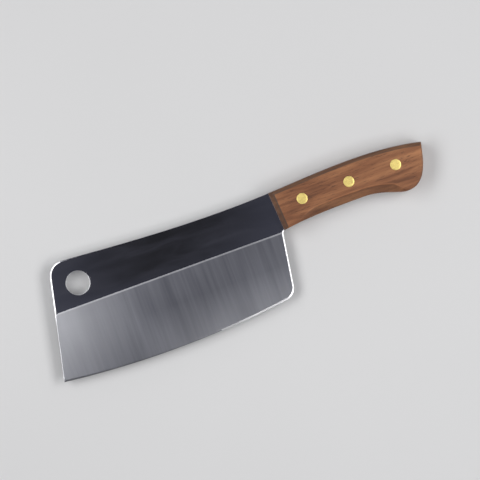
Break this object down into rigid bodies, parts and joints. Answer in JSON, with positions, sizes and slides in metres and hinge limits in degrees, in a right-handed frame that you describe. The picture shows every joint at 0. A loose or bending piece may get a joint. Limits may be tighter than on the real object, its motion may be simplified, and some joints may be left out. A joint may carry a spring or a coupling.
{
  "type": "meat cleaver",
  "caption": "Broad full-tang butcher's cleaver with a wide ground bevel, a hanging hole at the toe, wooden handle scales and flush brass rivets.",
  "frame": {"origin": "centre of the bounding box at its lowest face, which is the outer face of the far handle scale", "axes": "the cleaver lies on its side: +X from the toe of the blade to the butt of the handle, +Y from the cutting edge to the spine, +Z out of the near face"},
  "size_m": [0.3206, 0.0938, 0.019],
  "materials": {
    "blade_steel": "mirror polished above the grind line, fine satin grind across the bevel, bright polished edges",
    "handle_wood": "red-brown hardwood with dark grain along the handle, sealed, satin",
    "rivet_brass": "ground flush with the wood and finely brushed"
  },
  "bodies": {
    "root": {"blade": "blade_steel", "near_scale": "handle_wood", "far_scale": "handle_wood", "front_rivet_tube": "rivet_brass", "front_rivet_pin": "rivet_brass", "middle_rivet_tube": "rivet_brass", "middle_rivet_pin": "rivet_brass", "rear_rivet_tube": "rivet_brass", "rear_rivet_pin": "rivet_brass"}
  },
  "joints": []
}
